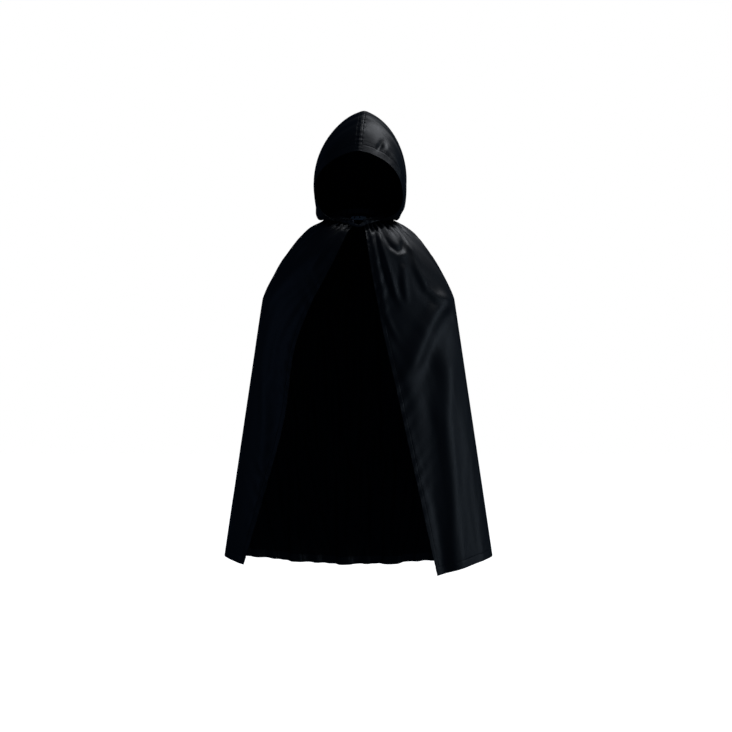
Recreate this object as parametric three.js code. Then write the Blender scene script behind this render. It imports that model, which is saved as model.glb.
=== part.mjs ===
// A child's hooded costume cape in light satin: open down the front, gathered into a neckband
// and closed at the throat by a short tab with a snap. It is modelled as it hangs when worn.
// Millimetres, +Z up. The front faces -Y and the wearer's left is +X.
// The origin is the middle of the neck opening, level with the throat closure.

import * as THREE from "three";

// ---- Driving dimensions ----

const CLOTH = 1.2; // thickness of one layer of cloth, with its small folds
const LAYER_GAP = 1; // between layers that lie on each other; the flat faces need most of it
const SEAM_GAP = 0.5; // each side of a line where two pieces are sewn edge to edge
const HOOD_GAP = 1.5; // between the neckband and the hood, which slopes outwards over it
const HINGE_GAP = 1; // each side of the line that a front panel swings on
const ELBOW_GAP = 2; // each side of the level where the swinging part of a front panel starts

const CAPE_LENGTH = 790; // from the neck seam to the hem, along the side
const BAND_HEIGHT = 14; // the neckband
const EDGE_HEM = 12; // turned hem down each front edge
const BOTTOM_HEM = 18; // turned hem along the bottom
const SEAM_ALLOWANCE = 12; // spare cloth beside a seam, on the inside
const TAB_REACH = 19.5; // the closure tab's half length
const TAB_HEIGHT = 9;
const TAB_LOWEST = -1; // its lower edge, in the middle
const TAB_DIP = 7; // how far the middle hangs below the ends
const SNAP_RADIUS = 4;

// The cape's cross-sections, from the neck seam (0) to the elbow and the hem (1).
// Each section is an ellipse whose middle hangs lower or higher than its sides.
const ELBOW = 0.29;
const cape = {
  down: [0, 0.07, 0.14, 0.21, ELBOW, 0.45, 1],
  halfWidth: [74, 106, 146, 189, 222, 245.8, 310],
  sideHeight: [22, 6, -32, -92, -160, -293.4, -752],
  frontDepth: [72, 94, 107, 112, 115, 121, 150],
  backDepth: [70, 84, 96, 104, 110, 122, 165],
  frontDrop: [22, 24, 28, 30, 33, 40, 76],
  backDrop: [-22, -20, -8, 6, 14, 20, 42],
};

// Where the two front edges hang, in degrees round from the back of the cape.
const leftEdge = { down: [0, 0.14, ELBOW, 0.5, 0.75, 1], turn: [170, 171, 168, 160, 152, 145] };
const rightEdge = {
  down: [0, 0.14, 0.24, ELBOW, 0.4, 0.6, 0.8, 1],
  turn: [170, 163, 155, 151, 143, 140, 132, 123],
};

// The hood, from the face edge (0) over the crown to the nape (1).
const hood = {
  back: [0, 0.15, 0.32, 0.5, 0.66, 0.8, 0.92, 1],
  ridgeDepth: [-112, -92, -52, 4, 54, 88, 94, 72],
  ridgeHeight: [168, 222, 261, 273, 252, 196, 112, 60],
  halfWidth: [100, 103, 105, 104, 99, 86, 57, 6],
  cheekRise: [0.36, 0.3, 0.25, 0.22, 0.24, 0.28, 0.34, 0.4],
  droop: [10, 20, 24, 24, 20, 12, 5, 0],
  neckTurn: [170, 150, 122, 90, 60, 35, 14, 3],
};
const CHEEK = 0.3; // share of each hood section that lies below its widest point
const RIDGE_CLEAR = 0.4; // each half's distance from the centre seam
const HOOD_ROLL = 0.045; // sideways lean of the hood per unit of height
const HOOD_YAW = 0.1; // turn of the hood, as sideways shift per unit of depth
const HOOD_SHIFT = 4; // how far the whole hood sits towards the wearer's left
const HOOD_SETTLE = 100; // height over which the turn comes in, above the neck seam
const ARCH_WIDTH = 1.35; // powers that shape the arch over the head: 1 and 1 make an ellipse
const ARCH_RISE = 0.83;
const CASING_SHARE = 0.07; // share of the hood that is turned in round the face opening
const NECK_SEAM_HEIGHT = 36; // the hood's seam, at the sides of the neck
const NECK_SEAM_SLOPE = 0.31; // and its rise towards the back

// ---- Curves and surfaces ----

const radians = THREE.MathUtils.degToRad;
const between = THREE.MathUtils.lerp;

// A smooth curve through a few values (cubic Hermite, each slope the mean of its neighbours').
function along(knots, values, at) {
  const last = knots.length - 1;
  const rise = (i) => (values[i + 1] - values[i]) / (knots[i + 1] - knots[i]);
  const slope = (i) => {
    if (i === 0) return rise(0);
    if (i === last) return rise(last - 1);
    return (rise(i - 1) + rise(i)) / 2;
  };
  let i = 0;
  while (i < last - 1 && at >= knots[i + 1]) i += 1;
  const span = knots[i + 1] - knots[i];
  const s = (at - knots[i]) / span;
  const ease = 3 * s ** 2 - 2 * s ** 3;
  const level = between(values[i], values[i + 1], ease);
  const leaving = (s ** 3 - 2 * s ** 2 + s) * slope(i);
  const arriving = (s ** 3 - s ** 2) * slope(i + 1);
  return level + span * (leaving + arriving);
}

// The side line runs straight from elbow to hem, because the front panels swing about it.
const elbowIndex = cape.down.indexOf(ELBOW);
const lastIndex = cape.down.length - 1;
const elbowSide = new THREE.Vector3(cape.halfWidth[elbowIndex], 0, cape.sideHeight[elbowIndex]);
const hemSide = new THREE.Vector3(cape.halfWidth[lastIndex], 0, cape.sideHeight[lastIndex]);

function sideLine(down) {
  if (down > ELBOW) {
    const share = (down - ELBOW) / (1 - ELBOW);
    return new THREE.Vector3().lerpVectors(elbowSide, hemSide, share);
  }
  const x = along(cape.down, cape.halfWidth, down);
  return new THREE.Vector3(x, 0, along(cape.down, cape.sideHeight, down));
}

// A point of the cape: turn is in degrees from the back, positive to the wearer's left.
// The front's section at the elbow lies square to the side line, so that the swing clears it.
function capePoint(turn, down) {
  const side = sideLine(down);
  const sine = Math.sin(radians(turn));
  const cosine = Math.cos(radians(turn));
  const front = cosine < 0;
  const depth = along(cape.down, front ? cape.frontDepth : cape.backDepth, down);
  const drop = along(cape.down, front ? cape.frontDrop : cape.backDrop, down);
  const sag = drop * (front ? 1 - Math.abs(sine) : cosine ** 2);
  return new THREE.Vector3(side.x * sine, depth * cosine, side.z - sag);
}

// The neckband stands straight up from the neck seam.
function bandPoint(turn, height) {
  const point = capePoint(turn, 0);
  point.z += height;
  return point;
}

// A point of the hood's left half before it leans.
// over is 0 at the neck seam and 1 at the centre seam.
function hoodHalf(back, over) {
  const neck = bandPoint(along(hood.back, hood.neckTurn, back), BAND_HEIGHT + HOOD_GAP);
  const width = along(hood.back, hood.halfWidth, back);
  const cheek = along(hood.back, hood.cheekRise, back);
  const ridgeY = along(hood.back, hood.ridgeDepth, back);
  const ridgeZ = along(hood.back, hood.ridgeHeight, back);
  if (over < CHEEK) {
    const bend = ((over / CHEEK) * Math.PI) / 2;
    const rise = cheek * (1 - Math.cos(bend));
    const droop = along(hood.back, hood.droop, back) * Math.sin(2 * bend);
    return new THREE.Vector3(
      between(neck.x, width, Math.sin(bend)),
      between(neck.y, ridgeY, rise),
      between(neck.z, ridgeZ, rise) - droop,
    );
  }
  const bend = (((over - CHEEK) / (1 - CHEEK)) * Math.PI) / 2;
  const rise = cheek + (1 - cheek) * Math.sin(bend) ** ARCH_RISE;
  return new THREE.Vector3(
    width * Math.max(Math.cos(bend), 0) ** ARCH_WIDTH,
    between(neck.y, ridgeY, rise),
    between(neck.z, ridgeZ, rise),
  );
}

// The hood leans and turns a little on the neck; at the neck seam itself it doesn't.
function lean(point) {
  const height = Math.max(point.z - NECK_SEAM_HEIGHT - NECK_SEAM_SLOPE * point.y, 0);
  const turned = THREE.MathUtils.smoothstep(height, 0, HOOD_SETTLE);
  const shifted = THREE.MathUtils.smoothstep(height, 0, HOOD_SETTLE / 4);
  point.x += HOOD_ROLL * height + HOOD_YAW * point.y * turned + HOOD_SHIFT * shifted;
  return point;
}

// ---- Closed thin solids ----

const besideAxis = (point) => new THREE.Vector3(0, 0, point.z);
const insideHood = () => new THREE.Vector3(0, 0, 90);

// The outward normal of surface(u, v), by small steps to each side.
function outward(surface, u, v, inside) {
  const step = 1e-3;
  const acrossSurface = surface(u + step, v).sub(surface(u - step, v));
  const downSurface = surface(u, v + step).sub(surface(u, v - step));
  const normal = acrossSurface.cross(downSurface).normalize();
  const point = surface(u, v);
  return normal.dot(point.clone().sub(inside(point))) < 0 ? normal.negate() : normal;
}

function pushTriangle(index, flip, a, b, c) {
  if (flip) index.push(a, c, b);
  else index.push(a, b, c);
}

const evenly = (steps) => Array.from({ length: steps + 1 }, (_, i) => i / steps);

// A closed slab over a grid on surface(u, v): two skins at the given distances outside the
// surface, joined round the rim. place puts each finished point where it belongs.
// columns is a number of even steps of u from 0 to 1; levels lists the values of v.
function slab({ surface, inside, columns, levels, outer, inner, place = (point) => point }) {
  const positions = [];
  const rows = levels.length - 1;
  const skin = (columns + 1) * (rows + 1);
  for (const distance of [outer, inner]) {
    for (const v of levels) {
      for (let column = 0; column <= columns; column += 1) {
        const u = column / columns;
        const away = typeof distance === "function" ? distance(u, v) : distance;
        const normal = outward(surface, u, v, inside);
        const point = place(surface(u, v).addScaledVector(normal, away));
        positions.push(point.x, point.y, point.z);
      }
    }
  }
  const at = (column, row) => row * (columns + 1) + column;
  const index = [];
  for (let row = 0; row < rows; row += 1) {
    for (let column = 0; column < columns; column += 1) {
      const corners = [
        at(column, row), at(column + 1, row), at(column + 1, row + 1), at(column, row + 1),
      ];
      index.push(corners[0], corners[1], corners[2], corners[0], corners[2], corners[3]);
      const [a, b, c, d] = corners.map((corner) => corner + skin);
      index.push(a, c, b, a, d, c);
    }
  }
  const rim = [];
  for (let column = 0; column < columns; column += 1) rim.push(at(column, 0));
  for (let row = 0; row < rows; row += 1) rim.push(at(columns, row));
  for (let column = columns; column > 0; column -= 1) rim.push(at(column, rows));
  for (let row = rows; row > 0; row -= 1) rim.push(at(0, row));
  rim.forEach((from, i) => {
    const to = rim[(i + 1) % rim.length];
    index.push(from, from + skin, to, to, from + skin, to + skin);
  });
  return facingOut(positions, index);
}

// Turns the whole solid's faces outwards, whichever way its grid ran.
function facingOut(positions, index) {
  const corner = (i) => new THREE.Vector3().fromArray(positions, index[i] * 3);
  let volume = 0;
  for (let i = 0; i < index.length; i += 3) {
    volume += corner(i).dot(corner(i + 1).cross(corner(i + 2)));
  }
  const turned = [];
  for (let i = 0; i < index.length; i += 3) {
    pushTriangle(turned, volume < 0, index[i], index[i + 1], index[i + 2]);
  }
  const geometry = new THREE.BufferGeometry();
  geometry.setAttribute("position", new THREE.Float32BufferAttribute(positions, 3));
  geometry.setIndex(turned);
  geometry.computeVertexNormals();
  return geometry;
}

// ---- Materials ----

const finishes = {
  satin: { color: 0x14161a, roughness: 0.42, metalness: 0 },
  satinInside: { color: 0x0c0d10, roughness: 0.75, metalness: 0 },
  tabSatin: { color: 0x2a3038, roughness: 0.5, metalness: 0 },
  snapMetal: { color: 0x30323a, roughness: 0.35, metalness: 0.9 },
  labelTape: { color: 0xe8e6df, roughness: 0.8, metalness: 0 },
};

const garment = new THREE.Group();

function addPiece(name, geometry, finish) {
  const piece = new THREE.Mesh(geometry, new THREE.MeshStandardMaterial(finishes[finish]));
  piece.name = name;
  garment.add(piece);
  return piece;
}

// ---- Cape panels ----

const underside = -CLOTH - LAYER_GAP; // top of a second layer, inside the first
const HEM_SHARE = BOTTOM_HEM / CAPE_LENGTH;
const ROW_GAP = SEAM_GAP / CAPE_LENGTH;
const ELBOW_SHARE = ELBOW_GAP / CAPE_LENGTH;

const sideTurn = (millimetres, depths, down) =>
  THREE.MathUtils.radToDeg(millimetres / along(cape.down, depths, down));
const edgeTurn = (edge, down) => along(edge.down, edge.turn, down);

// All the cape's pieces share these levels, so layers keep their distance: close together over
// the shoulders and further apart below the elbow.
const SHOULDER_STEPS = 9;
const SKIRT_STEPS = 14;
const sharedLevels = [
  ...evenly(SHOULDER_STEPS).map((share) => share * ELBOW),
  ...evenly(SKIRT_STEPS).slice(1).map((share) => between(ELBOW, 1, share)),
];

function levelsFrom(top, bottom) {
  const margin = 2 * ELBOW_SHARE;
  return [top, ...sharedLevels.filter((down) => down > top + margin && down < bottom - margin), bottom];
}

// Cape cloth between two turns and two levels; each turn may depend on the level.
function capeCloth(name, { from, to, top, bottom, columns, outer = 0, finish = "satin" }) {
  const surface = (u, down) => capePoint(between(from(down), to(down), u), down);
  const geometry = slab({
    surface, inside: besideAxis, columns, levels: levelsFrom(top, bottom), outer, inner: outer - CLOTH,
  });
  return addPiece(name, geometry, finish);
}

const backEnd = (side, gap) => (down) => side * (90 - sideTurn(gap, cape.backDepth, down));
const frontStart = (side, gap) => (down) => side * (90 + sideTurn(gap, cape.frontDepth, down));

function addBack() {
  capeCloth("back_panel", {
    from: backEnd(-1, HINGE_GAP), to: backEnd(1, HINGE_GAP), top: ROW_GAP, bottom: 1, columns: 32,
  });
  capeCloth("back_hem", {
    from: backEnd(-1, HINGE_GAP), to: backEnd(1, HINGE_GAP), top: 1 - HEM_SHARE, bottom: 1,
    columns: 32, outer: underside, finish: "satinInside",
  });
}

function addFront(side, word, edge) {
  const edgeAt = (inset) => (down) =>
    side * (edgeTurn(edge, down) - THREE.MathUtils.radToDeg(inset / sideLine(down).x));
  const upper = { top: ROW_GAP, bottom: ELBOW - ELBOW_SHARE };
  const lower = { top: ELBOW + ELBOW_SHARE, bottom: 1 };
  const panel = { from: frontStart(side, HINGE_GAP), to: edgeAt(0) };
  const hem = {
    from: edgeAt(EDGE_HEM), to: edgeAt(0), columns: 1, outer: underside, finish: "satinInside",
  };
  const aboveHem = 1 - HEM_SHARE - ROW_GAP;

  capeCloth(`${word}_front_shoulder`, { ...panel, ...upper, columns: 12 });
  capeCloth(`${word}_front_panel`, { ...panel, ...lower, columns: 12 });
  capeCloth(`${word}_edge_hem_upper`, { ...hem, ...upper });
  capeCloth(`${word}_edge_hem_lower`, { ...hem, ...lower, bottom: aboveHem });
  capeCloth(`${word}_bottom_hem`, {
    ...panel, top: 1 - HEM_SHARE, bottom: 1, columns: 12, outer: underside, finish: "satinInside",
  });
  capeCloth(`${word}_side_seam`, {
    from: backEnd(side, SEAM_ALLOWANCE), to: backEnd(side, HINGE_GAP), top: ROW_GAP, bottom: aboveHem,
    columns: 2, outer: underside, finish: "satinInside",
  });
}

// ---- Neckband, closure and label ----

const BAND_THICKNESS = 2; // satin folded in two
const BAND_END = 172; // how far round the neck the band reaches, in degrees
const SNAP_TURN = 168.8; // where the snap sits on the band
const SNAP_HEIGHT = 8;
const LABEL_TURN = 13; // each way from the middle of the back, in degrees
const LABEL_TOP = 0.012; // share of the way down the cape
const LABEL_BOTTOM = 0.045;
const LABEL_DEPTH = 4; // inside the back panel
const LABEL_THICKNESS = 0.6;

function addNeckband() {
  const surface = (u, v) => bandPoint(between(-BAND_END, BAND_END, u), between(0, BAND_HEIGHT, v));
  const geometry = slab({
    surface, inside: besideAxis, columns: 40, levels: [0, 1], outer: 0, inner: -BAND_THICKNESS,
  });
  addPiece("neckband", geometry, "satin");
}

const tabTurn = THREE.MathUtils.radToDeg(Math.asin(TAB_REACH / cape.halfWidth[0]));

// The tab crosses the throat from the wearer's left end of the band to the right, and dips
// in the middle; it stands off the band at its free end, where the snap is.
function addClosure() {
  const surface = (u, v) => {
    const point = bandPoint(180 + between(-tabTurn, tabTurn, u), 0);
    point.z = TAB_LOWEST + TAB_DIP * Math.abs(2 * u - 1) + v * TAB_HEIGHT;
    return point;
  };
  const standOff = (extra) => (u) => between(0.6, 3.4, THREE.MathUtils.smoothstep(u, 0, 0.5)) + extra;
  addPiece("closure_tab", slab({
    surface, inside: besideAxis, columns: 12, levels: [0, 1], outer: standOff(1.4), inner: standOff(0),
  }), "tabSatin");

  const band = bandPoint(-SNAP_TURN, SNAP_HEIGHT);
  const ahead = new THREE.Vector3(
    band.x / cape.halfWidth[0] ** 2, band.y / cape.frontDepth[0] ** 2, 0,
  ).normalize();
  const disc = (name, radius, from, to) => {
    const geometry = new THREE.CylinderGeometry(radius, radius, to - from, 20);
    const piece = addPiece(name, geometry, "snapMetal");
    piece.quaternion.setFromUnitVectors(new THREE.Vector3(0, 1, 0), ahead);
    piece.position.copy(band).addScaledVector(ahead, (from + to) / 2);
  };
  disc("snap_socket", SNAP_RADIUS, 0.3, 1.5);
  disc("snap_stud", SNAP_RADIUS - 0.5, 1.8, 3);
}

function addLabel() {
  const surface = (u, v) =>
    capePoint(between(-LABEL_TURN, LABEL_TURN, u), between(LABEL_TOP, LABEL_BOTTOM, v));
  addPiece("care_label", slab({
    surface, inside: besideAxis, columns: 4, levels: evenly(2),
    outer: -LABEL_DEPTH, inner: -LABEL_DEPTH - LABEL_THICKNESS,
  }), "labelTape");
}

// ---- Hood ----

// Puts a point of one half in place: off the centre seam, on its side, leaning with the hood.
const placeHood = (side) => (point) => {
  point.x = side * Math.max(point.x, RIDGE_CLEAR);
  return lean(point);
};

function hoodCloth(name, side, { fromBack, toBack, levels, columns, outer = 0, finish = "satin" }) {
  const surface = (u, over) => hoodHalf(between(fromBack, toBack, u), over);
  const geometry = slab({
    surface, inside: insideHood, columns, levels, outer, inner: outer - CLOTH, place: placeHood(side),
  });
  return addPiece(name, geometry, finish);
}

function addHood() {
  const levels = evenly(16).map((share) => between(0, 0.992, share));
  for (const [side, word] of [[1, "left"], [-1, "right"]]) {
    hoodCloth(`hood_${word}_panel`, side, {
      fromBack: 0, toBack: 1, levels, columns: 18,
    });
    hoodCloth(`hood_${word}_casing`, side, {
      fromBack: 0, toBack: CASING_SHARE, levels: levels.slice(1, -1), columns: 1,
      outer: underside, finish: "satinInside",
    });
  }
  addHoodSeam();
}

// The spare cloth of the hood's centre seam stands inwards from the ridge as a narrow fin.
function addHoodSeam() {
  const start = 3; // below the ridge, clear of both halves
  const surface = (u, v) => {
    const back = between(0.09, 0.93, u);
    const ridge = hoodHalf(back, 1);
    const next = hoodHalf(back + 1e-3, 1);
    const forward = next.sub(ridge).normalize();
    const inward = new THREE.Vector3(0, forward.z, -forward.y);
    return ridge.addScaledVector(inward, start + v * (SEAM_ALLOWANCE - 2)).setX(0);
  };
  const beside = (point) => point.clone().setX(-1);
  addPiece("hood_centre_seam", slab({
    surface, inside: beside, columns: 20, levels: [0, 1], outer: CLOTH / 2, inner: -CLOTH / 2, place: lean,
  }), "satinInside");
}

addNeckband();
addBack();
addFront(1, "left", leftEdge);
addFront(-1, "right", rightEdge);
addHood();
addClosure();
addLabel();

export default garment;
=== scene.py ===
# %% [markdown]
# # A hooded costume cape in black satin
# A dress-up cape is a few pieces of light satin: a back and two fronts gathered into a neckband,
# a two-piece hood, turned hems and a short tab that snaps shut at the throat. This script hangs
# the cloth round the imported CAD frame, which fixes where everything is and what moves.

import bmesh
import bpy
import numpy as np
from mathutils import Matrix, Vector


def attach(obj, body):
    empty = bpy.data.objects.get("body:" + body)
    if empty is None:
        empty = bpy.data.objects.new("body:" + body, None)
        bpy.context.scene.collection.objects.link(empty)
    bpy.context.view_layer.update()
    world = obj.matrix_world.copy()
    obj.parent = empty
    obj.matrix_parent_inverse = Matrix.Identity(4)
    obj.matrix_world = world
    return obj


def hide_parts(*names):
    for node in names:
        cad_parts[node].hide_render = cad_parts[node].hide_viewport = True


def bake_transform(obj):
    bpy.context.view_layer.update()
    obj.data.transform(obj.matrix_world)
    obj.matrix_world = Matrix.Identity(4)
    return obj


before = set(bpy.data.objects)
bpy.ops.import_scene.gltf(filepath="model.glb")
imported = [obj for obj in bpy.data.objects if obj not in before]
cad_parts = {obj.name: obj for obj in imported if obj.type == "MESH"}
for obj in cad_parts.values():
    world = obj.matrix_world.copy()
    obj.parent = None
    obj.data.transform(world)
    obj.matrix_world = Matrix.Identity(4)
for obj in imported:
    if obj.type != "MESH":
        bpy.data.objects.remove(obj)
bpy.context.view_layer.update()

# %% [markdown]
# ## Camera and light
# The camera stands level with the wearer's waist, 3.6 m in front, with a long lens. A large soft
# light high over the wearer's left shoulder gives satin its long soft highlights, a slim one low
# on that side follows the folds down to the hem, and a weak bluish one on the other side keeps
# the dark half from closing up. The white behind is seen by the camera only, because a cape this
# dark would otherwise show a grey veil of it.

# %% Camera and lights
MM = 0.001
CAMERA_PLACE = (0.0174, -3.6, -0.315)
SENSOR_MM, LENS_MM = 36, 76.5
DIM_BLUE, DIM_STRENGTH = "#7fa6dc", 0.05  # what the cape sees around it
SOFTBOXES = (  # name, place, what it faces, width and height, watts, colour
    ("key_light", (1.45, -0.3, 2.55), (0.05, 0, 0.05), (1.3, 1.3), 45, "#f4f8ff"),
    ("side_light", (2.6, -0.8, -0.1), (0.1, 0, -0.45), (0.5, 1.8), 8.5, "#d6e8fb"),
    ("fill_light", (-2.5, -1.2, 0.2), (0, 0, -0.4), (0.4, 1.8), 1.4, "#a8c8ff"),
)
FLOOR_LEVEL = -0.92  # under the wearer's feet
FLOOR_SIDE = 14.0


def srgb(code):
    """Turns a hex colour such as '#1a2b3c' to the linear values that shaders take."""
    parts = np.array([int(code[i : i + 2], 16) for i in (1, 3, 5)]) / 255
    linear = np.where(parts <= 0.04045, parts / 12.92, ((parts + 0.055) / 1.055) ** 2.4)
    return (*linear.tolist(), 1.0)


def add_camera():
    """A level camera in front of the cape."""
    data = bpy.data.cameras.new("camera")
    data.sensor_width = SENSOR_MM
    data.lens = LENS_MM
    camera = bpy.data.objects.new("camera", data)
    camera.location = CAMERA_PLACE
    camera.rotation_euler = (np.pi / 2, 0, 0)
    bpy.context.scene.collection.objects.link(camera)
    bpy.context.scene.camera = camera


def add_softbox(name, place, aim, size, watts, colour):
    """A rectangular area light at place, turned to face aim."""
    data = bpy.data.lights.new(name, "AREA")
    data.color = srgb(colour)[:3]
    data.shape = "RECTANGLE"
    data.size, data.size_y = size
    data.energy = watts
    light = bpy.data.objects.new(name, data)
    light.location = place
    light.rotation_euler = (Vector(aim) - Vector(place)).to_track_quat("-Z", "Y").to_euler()
    bpy.context.scene.collection.objects.link(light)


def add_world():
    """White where the camera looks straight at it, dim blue for everything else."""
    world = bpy.data.worlds.new("studio")
    world.use_nodes = True
    nodes, links = world.node_tree.nodes, world.node_tree.links
    nodes.clear()
    output = nodes.new("ShaderNodeOutputWorld")
    mix = nodes.new("ShaderNodeMixShader")
    path = nodes.new("ShaderNodeLightPath")
    dim = nodes.new("ShaderNodeBackground")
    bright = nodes.new("ShaderNodeBackground")
    dim.inputs["Color"].default_value = srgb(DIM_BLUE)
    dim.inputs["Strength"].default_value = DIM_STRENGTH
    bright.inputs["Color"].default_value = (1, 1, 1, 1)
    bright.inputs["Strength"].default_value = 1.0
    links.new(path.outputs["Is Camera Ray"], mix.inputs["Fac"])
    links.new(dim.outputs[0], mix.inputs[1])
    links.new(bright.outputs[0], mix.inputs[2])
    links.new(mix.outputs[0], output.inputs["Surface"])
    bpy.context.scene.world = world


def add_floor():
    """A plain pale floor that runs on into the white behind without a line. The cape's own rays
    don't see it, so its white doesn't fill in the dark side of the satin."""
    half = FLOOR_SIDE / 2
    corners = [(-half, -half), (half, -half), (half, half), (-half, half)]
    mesh = bpy.data.meshes.new("floor")
    mesh.from_pydata([(x, y, FLOOR_LEVEL) for x, y in corners], [], [(0, 1, 2, 3)])
    paint = bpy.data.materials.new("white_studio_floor")
    paint.use_nodes = True
    surface = paint.node_tree.nodes["Principled BSDF"].inputs
    surface["Base Color"].default_value = srgb("#f6f6f4")
    surface["Roughness"].default_value = 0.9
    surface["Emission Color"].default_value = (1, 1, 1, 1)
    surface["Emission Strength"].default_value = 1.0
    mesh.materials.append(paint)
    floor = bpy.data.objects.new("floor", mesh)
    floor.visible_diffuse = floor.visible_glossy = False
    bpy.context.scene.collection.objects.link(floor)


add_camera()
add_world()
add_floor()
for softbox in SOFTBOXES:
    add_softbox(*softbox)
bpy.context.scene.view_settings.view_transform = "Standard"
print("lights", [softbox[0] for softbox in SOFTBOXES])

# %% [markdown]
# ## The cape's smooth form
# Seen without its folds, the worn cape is a tube of ellipses from the neck to the hem, wide at
# the elbows because the wearer's hands are on the hips. A few sections say it all, and a smooth
# curve runs through them. This is the same form as the CAD solids, so the cloth lands on them.

# %% The smooth form
ELBOW = 0.29
SECTIONS = {
    "down": [0, 0.07, 0.14, 0.21, ELBOW, 0.45, 1],
    "half_width": [74, 106, 146, 189, 222, 245.8, 310],
    "side_height": [22, 6, -32, -92, -160, -293.4, -752],
    "front_depth": [72, 94, 107, 112, 115, 121, 150],
    "back_depth": [70, 84, 96, 104, 110, 122, 165],
    "front_drop": [22, 24, 28, 30, 33, 40, 76],
    "back_drop": [-22, -20, -8, 6, 14, 20, 42],
}
LEFT_EDGE = ([0, 0.14, ELBOW, 0.5, 0.75, 1], [170, 171, 168, 160, 152, 145])
RIGHT_EDGE = ([0, 0.14, 0.24, ELBOW, 0.4, 0.6, 0.8, 1], [170, 163, 155, 151, 143, 140, 132, 123])


def smooth(knots, values, at):
    """A curve through a few values: cubic Hermite pieces, each inner slope the mean of the
    slopes on its two sides."""
    knots, values, at = (np.asarray(x, float) for x in (knots, values, at))
    rise = np.diff(values) / np.diff(knots)
    slopes = np.concatenate([rise[:1], (rise[:-1] + rise[1:]) / 2, rise[-1:]])
    piece = np.clip(np.searchsorted(knots, at, side="right") - 1, 0, len(knots) - 2)
    span = knots[piece + 1] - knots[piece]
    s = (at - knots[piece]) / span
    start = (2 * s**3 - 3 * s**2 + 1) * values[piece] + (s**3 - 2 * s**2 + s) * span * slopes[piece]
    end = (3 * s**2 - 2 * s**3) * values[piece + 1] + (s**3 - s**2) * span * slopes[piece + 1]
    return start + end


def ease(low, high, at):
    """0 below low, 1 above high, and a smooth step between."""
    share = np.clip((np.asarray(at, float) - low) / (high - low), 0, 1)
    return share * share * (3 - 2 * share)


def section(name, down):
    """One measure of the form, in millimetres, at any level."""
    return smooth(SECTIONS["down"], SECTIONS[name], down)


def cape_form(turn, down):
    """The smooth cape: an ellipse at each level down, turn in degrees from the back and positive
    to the wearer's left. Below the elbow the side line is straight, as the swing axis is."""
    turn, down = np.broadcast_arrays(np.asarray(turn, float), np.asarray(down, float))
    at_elbow = SECTIONS["down"].index(ELBOW)
    share = np.clip((down - ELBOW) / (1 - ELBOW), 0, 1)
    straight = lambda row: row[at_elbow] + (row[-1] - row[at_elbow]) * share
    below = down > ELBOW
    width = np.where(below, straight(SECTIONS["half_width"]), section("half_width", down))
    height = np.where(below, straight(SECTIONS["side_height"]), section("side_height", down))
    sine, cosine = np.sin(np.radians(turn)), np.cos(np.radians(turn))
    front = cosine < 0
    depth = np.where(front, section("front_depth", down), section("back_depth", down))
    sag = np.where(
        front,
        section("front_drop", down) * (1 - np.abs(sine)),
        section("back_drop", down) * cosine**2,
    )
    return MM * np.stack([width * sine, depth * cosine, height - sag], -1)


print("the form at the hem:", np.round(cape_form([-90, 0, 90, 180], 1.0), 3).tolist())

# %% [markdown]
# ## The pattern
# Laid flat, the cape is three flared pieces. Each is wider than the form that it hangs on, and
# that spare width becomes the folds. It is widest against the form at the neck, where the cloth
# is gathered; the cell prints how much wider at both ends.

# %% The pattern
RIGHT, BACK, LEFT = range(3)
WIDTH_LEVELS = [0, ELBOW, 0.6, 1]
FLAT_WIDTHS = MM * np.array([[160, 180, 148, 108], [440, 570, 700, 880], [200, 228, 222, 212]])
CLOTH_LENGTH = 795 * MM  # flat, from neck seam to hem


def flat_width(piece, down):
    """The cut width of one piece at any level."""
    return smooth(WIDTH_LEVELS, FLAT_WIDTHS[piece], down)


def turns_at(share, piece, down):
    """Where a point hangs round the form: share runs 0 to 1 across one piece, from the wearer's
    right front edge round the back to the left front edge."""
    right, left = smooth(*RIGHT_EDGE, down), smooth(*LEFT_EDGE, down)
    if piece == RIGHT:
        return -right + (right - 90) * share
    if piece == BACK:
        return -90 + 180 * share
    return 90 + (left - 90) * share


def turns_by_length(shares, piece, down):
    """The turns at even distances round each level: the lengths along the ellipse are summed on
    a fine line, and the even distances are looked up on it."""
    line = turns_at(np.linspace(0, 1, 161)[None, :], piece, down) + 0 * down
    steps = np.linalg.norm(np.diff(cape_form(line, down), axis=1), axis=2)
    length = np.pad(np.cumsum(steps, axis=1), ((0, 0), (1, 0)))
    length /= length[:, -1:]
    return np.array([np.interp(shares, row, turns) for row, turns in zip(length, line)])


def make_pattern(columns, rows):
    """A grid over all three pieces. columns gives the steps across each. Returns each point's
    turn, level, flat distance from the right front edge, and the grid's rest lengths."""
    down = np.linspace(0, 1, rows + 1)[:, None]
    turn, flat, step = [], [], []
    offset = np.zeros_like(down)
    for piece, count in enumerate(columns):
        share = np.linspace(0, 1, count + 1)[None, :]
        keep = slice(0, count + 1) if piece == LEFT else slice(0, count)
        turn.append(turns_by_length(share[0], piece, down)[:, keep])
        flat.append((offset + flat_width(piece, down) * share)[:, keep])
        step.append(np.repeat(flat_width(piece, down) / count, count, axis=1))
        offset = offset + flat_width(piece, down)
    turn, flat, step = (np.concatenate(x, axis=1) for x in (turn, flat, step))
    down = np.broadcast_to(down, turn.shape)
    form = cape_form(turn, down)
    drop = np.linalg.norm(np.diff(form, axis=0), axis=2)
    return {"turn": turn, "down": down, "flat": flat, "form": form, "across": step, "along": drop}


for level, word in ((0, "neck"), (1, "hem")):
    line = cape_form(np.linspace(-RIGHT_EDGE[1][-level], LEFT_EDGE[1][-level], 400), level)
    worn = np.linalg.norm(np.diff(line, axis=0), axis=1).sum()
    cut = sum(float(flat_width(piece, level)) for piece in (RIGHT, BACK, LEFT))
    print(f"{word}: {cut:.2f} m of cloth on {worn:.2f} m of form")


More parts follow.
